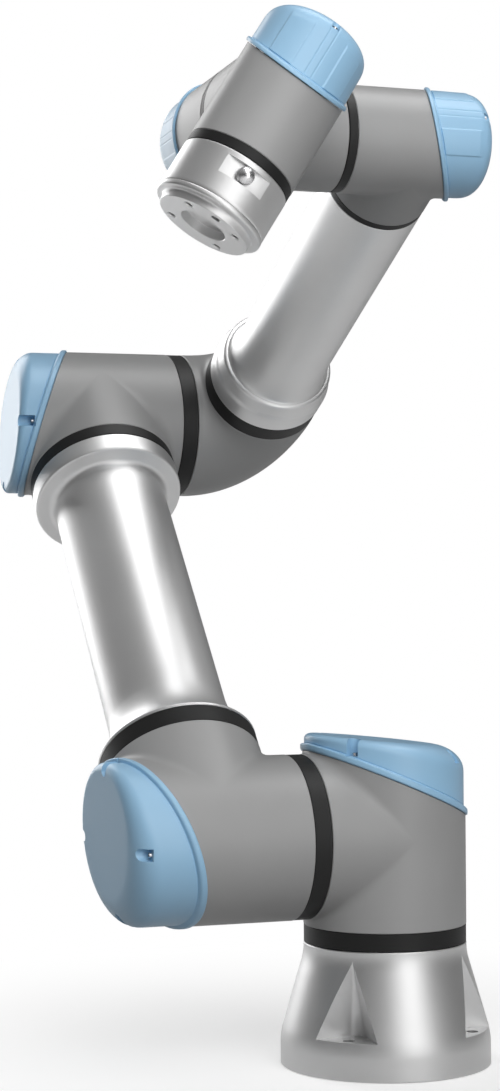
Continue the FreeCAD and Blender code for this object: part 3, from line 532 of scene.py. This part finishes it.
def elbow_bend():
    """A short stub on the elbow axis, then circles that swing through a right angle about a
    line just inside the bend while their radius shrinks to the forearm flange."""
    r0, r1, gap, steps, seg = 58.2, 47.7, 2.6, 44, 160
    rings = []
    rings += [(-54.5, 0.0, 0.0, r0 - 0.5), (-54.0, 0.0, 0.0, r0), (-52.2, 0.0, 0.0, r0)]
    for i in range(steps + 1):
        phi = 0.5 * math.pi * i / steps
        mix = (1.0 - math.cos(math.pi * i / steps)) / 2.0
        r = r0 * (1.0 - mix) + r1 * mix
        reach = r + gap
        rings.append((-(r1 + gap) + reach * math.sin(phi), r0 + gap - reach * math.cos(phi), phi, r))
    x, z, phi, r = rings[-1]
    rings[-1] = (x, z - 0.5, phi, r)
    rings.append((x, z, phi, r - 0.5))
    verts = []
    for x, z, phi, r in rings:
        normal = Vector((math.cos(phi), 0, math.sin(phi)))
        side = Vector((-math.sin(phi), 0, math.cos(phi)))
        for j in range(seg):
            t = 2 * math.pi * j / seg
            verts.append(Vector((x, 0, z)) + side * (r * math.cos(t)) + Vector((0, 1, 0)) * (r * math.sin(t)))
    faces = grid_faces(len(rings), seg, wrap=True)
    faces.append(tuple(range(seg)))
    faces.append(tuple(range(len(verts) - seg, len(verts))))
    return mesh_object("elbow_bend_casting", verts, faces, F_FORE, sharp=35.0)


PIECES["elbow_pipe_bend"] = replace(elbow_bend(), "elbow_pipe_bend")


def pocket_tool(az):
    """Pyramid cutter with a rounded valley: widest on the pocket floor, closing to a point."""
    section = []
    r, ox = 8.0, 59.0
    slope = math.atan(0.874)
    for i in range(15):
        a = math.pi / 2 + slope + (math.pi - 2 * slope) * i / 14
        section.append((55.5 - ox + r * math.cos(a), r * math.sin(a)))
    first, last = section[0], section[-1]
    far = 32.0
    section.append((far, last[1] - (far - last[0]) * math.tan(slope)))
    section.append((far, first[1] + (far - first[0]) * math.tan(slope)))
    levels = [(26.0 + 54.0 * i / 12, 1.0 - 0.985 * i / 12) for i in range(13)]
    n = len(section)
    verts = []
    for z, k in levels:
        verts += [(ox + px * k, py * k, z) for px, py in section]
    faces = grid_faces(len(levels), n, wrap=True)
    faces.append(tuple(range(n)))
    faces.append(tuple(range(len(verts) - n, len(verts))))
    return mesh_object("tool", verts, faces, Matrix.Rotation(math.radians(az), 4, "Z"), weld=0.0005)


foot = [(44.0, 0.0), (74.4, 0.0)] + arc(74.4, 0.7, 0.7, -75, 0, 3) + ribbon((75.1, 1.4), (75.0, 15.5), 4)
foot += bezier((75.0, 15.5), (74.9, 20.2), (73.6, 26.0), 10)[1:] + ribbon((73.6, 26.0), (60.6, 70.5), 10)[1:]
foot += bezier((60.6, 70.5), (58.3, 77.5), (58.2, 83.0), 8)[1:] + [(58.2, 85.0)] + arc(57.6, 85.4, 0.6, 0, 80, 3) + [(57.0, 86.0), (44.0, 86.0)]
foot_obj = lathe("foot_casting", foot, F_FOOT, 256, closed=True, sharp=30.0)
cutters = [pocket_tool(az) for az in (45, 135, 225, 315)]
for az in (45, 135, 225, 315):
    a = math.radians(az)
    cutters.append(rod_tool(4.25, -6.0, 40.0, 66.0 * math.cos(a), 66.0 * math.sin(a), F_FOOT))
cutters.append(lathe("tool", [(0.0, 30.0), (10.2, 30.0), (10.2, 110.0), (0.0, 110.0)], frame_at(Vector((0, 0, 34.0)), -X, Z), 48))
PIECES["base_foot"] = replace(boolean_cut(foot_obj, cutters, 30.0), "base_foot")

flange = [(22.0, 58.0), (29.0, 58.0), (29.0, 59.1), (36.4, 59.1)] + arc(36.5, 59.7, 0.6, -60, 0, 3) + ribbon((37.1, 60.4), (37.1, 84.0), 6)
flange += ribbon((37.1, 84.0), (37.1, 89.4), 3)[1:] + bezier((37.1, 89.4), (37.0, 90.0), (36.7, 90.2), 4)[1:]
flange += bezier((36.7, 90.2), (37.2, 90.4), (37.3, 91.0), 4)[1:] + [(37.3, 92.8)] + bezier((37.3, 92.8), (37.2, 94.1), (36.0, 94.2), 5)[1:]
flange += [(33.4, 94.2)] + bezier((33.4, 94.2), (31.9, 94.3), (31.7, 95.8), 5)[1:]
flange += [(31.5, 98.8)] + arc(30.9, 99.0, 0.6, 0, 80, 4) + [(30.6, 99.6), (16.2, 99.6), (15.75, 99.2), (15.75, 93.6), (15.55, 93.4), (0.0, 93.4)]
flange = [(0.0, 58.0)] + flange
flange_obj = lathe("tool_flange_body", flange, F_TOOL, 224, sharp=26.0)
cutters = []
for az in (45, 135, 225, 315):
    a = math.radians(az)
    cutters.append(lathe("tool", [(0.0, 89.0), (2.5, 90.2), (2.5, 98.8), (3.4, 99.7), (3.4, 103.0), (0.0, 103.0)], F_TOOL @ Matrix.Translation(Vector((25.0 * math.cos(a), 25.0 * math.sin(a), 0))), 36))
cutters.append(lathe("tool", [(0.0, 91.6), (3.0, 91.6), (3.0, 99.2), (3.5, 99.7), (3.5, 103.0), (0.0, 103.0)], F_TOOL @ Matrix.Translation(Vector((25.0, 0, 0))), 36))
box_verts = [(x, y, z) for x in (33.6, 56.0) for y in (-16.4, 16.4) for z in (63.0, 75.8)]
box_faces = [(0, 1, 3, 2), (4, 6, 7, 5), (0, 4, 5, 1), (2, 3, 7, 6), (0, 2, 6, 4), (1, 5, 7, 3)]
cutters.append(mesh_object("tool", box_verts, box_faces, F_TOOL))
cutters.append(lathe("tool", [(0.0, 21.5), (4.1, 21.5), (4.1, 50.0), (0.0, 50.0)], F_TOOL @ frame_at(Vector((0, 0, 69.4)), X, Z), 36))
PIECES["tool_flange"] = replace(boolean_cut(flange_obj, cutters, 26.0), "tool_flange")



# ------------------------------------------------------------------------------------------
# Materials.
# ------------------------------------------------------------------------------------------
def material(name):
    mat = bpy.data.materials.new(name)
    mat.use_nodes = True
    tree = mat.node_tree
    tree.nodes.clear()
    out = tree.nodes.new("ShaderNodeOutputMaterial")
    shader = tree.nodes.new("ShaderNodeBsdfPrincipled")
    tree.links.new(shader.outputs["BSDF"], out.inputs["Surface"])
    return mat, tree, shader


def noise(tree, coord, scale, detail=4.0, rough=0.5, kind="ShaderNodeTexNoise"):
    node = tree.nodes.new(kind)
    node.inputs["Scale"].default_value = scale
    node.inputs["Detail"].default_value = detail
    node.inputs["Roughness"].default_value = rough
    tree.links.new(coord, node.inputs["Vector"])
    return node


def ramp(tree, source, lo, hi, a, b):
    node = tree.nodes.new("ShaderNodeMapRange")
    node.inputs["From Min"].default_value = lo
    node.inputs["From Max"].default_value = hi
    node.inputs["To Min"].default_value = a
    node.inputs["To Max"].default_value = b
    tree.links.new(source, node.inputs["Value"])
    return node.outputs["Result"]


def mix_colour(tree, factor, a, b):
    node = tree.nodes.new("ShaderNodeMix")
    node.data_type = "RGBA"
    node.inputs["A"].default_value = (*a, 1.0)
    node.inputs["B"].default_value = (*b, 1.0)
    tree.links.new(factor, node.inputs["Factor"])
    return node.outputs["Result"]


def object_coords(tree):
    return tree.nodes.new("ShaderNodeTexCoord").outputs["Object"]


def bump(tree, shader, height, strength, distance, chain=None):
    node = tree.nodes.new("ShaderNodeBump")
    node.inputs["Strength"].default_value = strength
    node.inputs["Distance"].default_value = distance
    tree.links.new(height, node.inputs["Height"])
    if chain is not None:
        tree.links.new(chain, node.inputs["Normal"])
    tree.links.new(node.outputs["Normal"], shader.inputs["Normal"])
    return node.outputs["Normal"]


def finish_material(name, base, tint, rough, spread, metallic, fine, fine_depth, coat=0.0, broad=9.0, specular=None, coat_rough=0.2):
    """A finish with broad tone drift, fine grain in roughness, and a fine surface relief."""
    mat, tree, shader = material(name)
    coord = object_coords(tree)
    drift = noise(tree, coord, broad, 3.0, 0.55)
    grain = noise(tree, coord, fine, 5.0, 0.6)
    colour = mix_colour(tree, ramp(tree, drift.outputs["Fac"], 0.35, 0.65, 0.0, 1.0), base, tint)
    tree.links.new(colour, shader.inputs["Base Color"])
    tree.links.new(ramp(tree, grain.outputs["Fac"], 0.3, 0.7, rough - spread, rough + spread), shader.inputs["Roughness"])
    shader.inputs["Metallic"].default_value = metallic
    if specular is not None:
        shader.inputs["Specular IOR Level"].default_value = specular
    shader.inputs["Coat Weight"].default_value = coat
    shader.inputs["Coat Roughness"].default_value = coat_rough
    bump(tree, shader, grain.outputs["Fac"], 0.5, fine_depth)
    return mat


GREY = finish_material("satin_grey_paint", (0.32, 0.32, 0.32), (0.34, 0.34, 0.34), 0.42, 0.04, 0.0, 1400.0, 0.00004, coat=0.12, coat_rough=0.35)
BLUE = finish_material("light_blue_plastic", (0.318, 0.552, 0.765), (0.335, 0.568, 0.78), 0.36, 0.035, 0.0, 1800.0, 0.00002)
BLACK = finish_material("seal_rubber", (0.006, 0.006, 0.006), (0.009, 0.009, 0.009), 0.5, 0.05, 0.0, 1500.0, 0.00005, specular=0.35)
ALU = finish_material("bead_blasted_aluminium", (0.70, 0.70, 0.70), (0.74, 0.74, 0.74), 0.45, 0.03, 1.0, 2600.0, 0.000012)
STEEL = finish_material("screw_steel_finish", (0.55, 0.55, 0.56), (0.62, 0.62, 0.63), 0.25, 0.06, 1.0, 1500.0, 0.00002)
CHROME = finish_material("polished_chrome", (0.82, 0.82, 0.83), (0.86, 0.86, 0.87), 0.27, 0.03, 1.0, 900.0, 0.000004)
SOCKET = finish_material("socket_plastic_finish", (0.02, 0.02, 0.021), (0.03, 0.03, 0.031), 0.4, 0.05, 0.0, 1500.0, 0.00004)
IRON = finish_material("laminated_iron", (0.16, 0.13, 0.11), (0.22, 0.18, 0.15), 0.5, 0.08, 0.8, 700.0, 0.00006)
GEAR = finish_material("ground_steel", (0.46, 0.46, 0.47), (0.54, 0.54, 0.55), 0.3, 0.06, 1.0, 900.0, 0.00003)
BOARD = finish_material("board_laminate", (0.02, 0.16, 0.06), (0.03, 0.2, 0.08), 0.4, 0.06, 0.0, 400.0, 0.00005)

SLOT_MATERIAL = {
    "grey_paint": GREY, "blue_cap": BLUE, "black_seal": BLACK, "bare_aluminium": ALU,
    "screw_steel": STEEL, "connector_chrome": CHROME, "socket_plastic": SOCKET,
    "gear_steel": GEAR, "stator_iron": IRON, "rotor_steel": GEAR, "board_green": BOARD,
}
NODE_SLOT = {s["node"]: s["material_slot"] for s in record["subparts"]}


def set_material(obj, mat):
    obj.data.materials.clear()
    obj.data.materials.append(mat)


for node, obj in frame["nodes"].items():
    set_material(obj, SLOT_MATERIAL[NODE_SLOT[node]])
for node, obj in PIECES.items():
    set_material(obj, SLOT_MATERIAL[NODE_SLOT[node]])

# ------------------------------------------------------------------------------------------
# Floor, light and camera.
# ------------------------------------------------------------------------------------------
WORLD_LOW, WORLD_HIGH = 0.08, 0.30

scene = bpy.context.scene
ground = bpy.data.meshes.new("floor")
ground.from_pydata([(-60, -60, 0), (60, -60, 0), (60, 60, 0), (-60, 60, 0)], [], [(0, 1, 2, 3)])
floor = bpy.data.objects.new("floor", ground)
scene.collection.objects.link(floor)
floor.location.z = -0.0005
mat, tree, shader = material("pale_floor")
coord = object_coords(tree)
shader.inputs["Roughness"].default_value = 0.85
near = tree.nodes.new("ShaderNodeBsdfDiffuse")
near.inputs["Color"].default_value = (0.62, 0.62, 0.62, 1.0)
glow = tree.nodes.new("ShaderNodeEmission")
glow.inputs["Strength"].default_value = 0.45
both = tree.nodes.new("ShaderNodeAddShader")
tree.links.new(near.outputs["BSDF"], both.inputs[0])
tree.links.new(glow.outputs["Emission"], both.inputs[1])
white = tree.nodes.new("ShaderNodeEmission")
white.inputs["Strength"].default_value = 1.0
length = tree.nodes.new("ShaderNodeVectorMath")
length.operation = "LENGTH"
tree.links.new(coord, length.inputs[0])
fade = tree.nodes.new("ShaderNodeMapRange")
fade.interpolation_type = "SMOOTHSTEP"
fade.inputs["From Min"].default_value = 0.12
fade.inputs["From Max"].default_value = 0.55
tree.links.new(length.outputs["Value"], fade.inputs["Value"])
far_mix = tree.nodes.new("ShaderNodeMixShader")
tree.links.new(fade.outputs["Result"], far_mix.inputs["Fac"])
tree.links.new(both.outputs["Shader"], far_mix.inputs[1])
tree.links.new(white.outputs["Emission"], far_mix.inputs[2])
ray = tree.nodes.new("ShaderNodeLightPath")
bounce = tree.nodes.new("ShaderNodeMapRange")
bounce.inputs["To Min"].default_value = 0.2
bounce.inputs["To Max"].default_value = 0.85
tree.links.new(ray.outputs["Is Glossy Ray"], bounce.inputs["Value"])
tree.links.new(bounce.outputs["Result"], shader.inputs["Base Color"])
pick = tree.nodes.new("ShaderNodeMixShader")
tree.links.new(ray.outputs["Is Camera Ray"], pick.inputs["Fac"])
tree.links.new(shader.outputs["BSDF"], pick.inputs[1])
tree.links.new(far_mix.outputs["Shader"], pick.inputs[2])
for node in tree.nodes:
    if node.type == "OUTPUT_MATERIAL":
        tree.links.new(pick.outputs["Shader"], node.inputs["Surface"])
set_material(floor, mat)

scene.view_settings.view_transform = "Standard"
scene.view_settings.look = "None"

world = bpy.data.worlds.new("studio")
world.use_nodes = True
scene.world = world
wt = world.node_tree
wt.nodes.clear()
wout = wt.nodes.new("ShaderNodeOutputWorld")
seen = wt.nodes.new("ShaderNodeBackground")
seen.inputs["Color"].default_value = (1.0, 1.0, 1.0, 1.0)
seen.inputs["Strength"].default_value = 1.0
lit = wt.nodes.new("ShaderNodeBackground")
lit.inputs["Color"].default_value = (1.0, 1.0, 1.0, 1.0)
where = wt.nodes.new("ShaderNodeTexCoord")
split = wt.nodes.new("ShaderNodeSeparateXYZ")
wt.links.new(where.outputs["Generated"], split.inputs["Vector"])
sky = wt.nodes.new("ShaderNodeMapRange")
sky.interpolation_type = "SMOOTHSTEP"
sky.inputs["From Min"].default_value = 0.15
sky.inputs["From Max"].default_value = 0.95
sky.inputs["To Min"].default_value = WORLD_LOW
sky.inputs["To Max"].default_value = WORLD_HIGH
wt.links.new(split.outputs["Z"], sky.inputs["Value"])
wt.links.new(sky.outputs["Result"], lit.inputs["Strength"])
path = wt.nodes.new("ShaderNodeLightPath")
mixer = wt.nodes.new("ShaderNodeMixShader")
wt.links.new(path.outputs["Is Camera Ray"], mixer.inputs["Fac"])
wt.links.new(lit.outputs["Background"], mixer.inputs[1])
wt.links.new(seen.outputs["Background"], mixer.inputs[2])
wt.links.new(mixer.outputs["Shader"], wout.inputs["Surface"])

TARGET = Vector((-0.05, -0.07, 0.38))
CAM_POS = Vector((1.552745, -0.642852, 0.345876))
CAM_AZ = math.degrees(math.atan2(CAM_POS.y - TARGET.y, CAM_POS.x - TARGET.x))


def softbox(name, turn, lift, distance, width, height, power, colour=(1, 1, 1)):
    """An area light at `turn` degrees from the camera's heading and `lift` degrees up."""
    az, el = math.radians(CAM_AZ + turn), math.radians(lift)
    direction = Vector((math.cos(az) * math.cos(el), math.sin(az) * math.cos(el), math.sin(el)))
    data = bpy.data.lights.new(name, "AREA")
    data.shape = "RECTANGLE"
    data.size, data.size_y = width, height
    data.energy = power
    data.color = colour
    obj = bpy.data.objects.new(name, data)
    scene.collection.objects.link(obj)
    obj.location = TARGET + direction * distance
    obj.rotation_euler = (-direction).to_track_quat("-Z", "Y").to_euler()
    return obj


softbox("key", 32.0, 8.0, 2.3, 1.15, 2.2, 17.5)
softbox("left_rim", -140.0, 20.0, 2.0, 1.0, 1.9, 22.0)
softbox("right_rim", 138.0, 15.0, 2.2, 0.6, 1.8, 1.3)
softbox("front_top", 26.0, 48.0, 2.1, 1.2, 1.3, 8.0)
# A strip overhead that only the metal mirrors, and a broad fill that only the paint and plastic take.
softbox("overhead_strip", 94.0, 73.0, 2.0, 0.9, 1.6, 20.0).visible_diffuse = False
softbox("fill", 7.0, 26.0, 2.2, 1.3, 1.3, 17.5).visible_glossy = False

cam_data = bpy.data.cameras.new("camera")
cam = bpy.data.objects.new("camera", cam_data)
scene.collection.objects.link(cam)
cam_data.sensor_fit = "AUTO"
cam_data.sensor_width = 36.0
cam_data.lens = 77.141
cam_data.shift_x = (250.0 - 258.531) / 1091.0
cam_data.shift_y = (531.224 - 545.5) / 1091.0
cam_data.dof.use_dof = False
cam_data.clip_end = 200.0
right = Vector((0.333131, 0.942862, -0.005858))
up = Vector((0.020626, -0.001075, 0.999787))
back = Vector((0.942655, -0.333181, -0.019806))
back = back.normalized()
right = (right - back * right.dot(back)).normalized()
up = back.cross(right)
cam.matrix_world = Matrix(((right.x, up.x, back.x, CAM_POS.x), (right.y, up.y, back.y, CAM_POS.y), (right.z, up.z, back.z, CAM_POS.z), (0, 0, 0, 1)))
scene.camera = cam

bpy.context.view_layer.update()
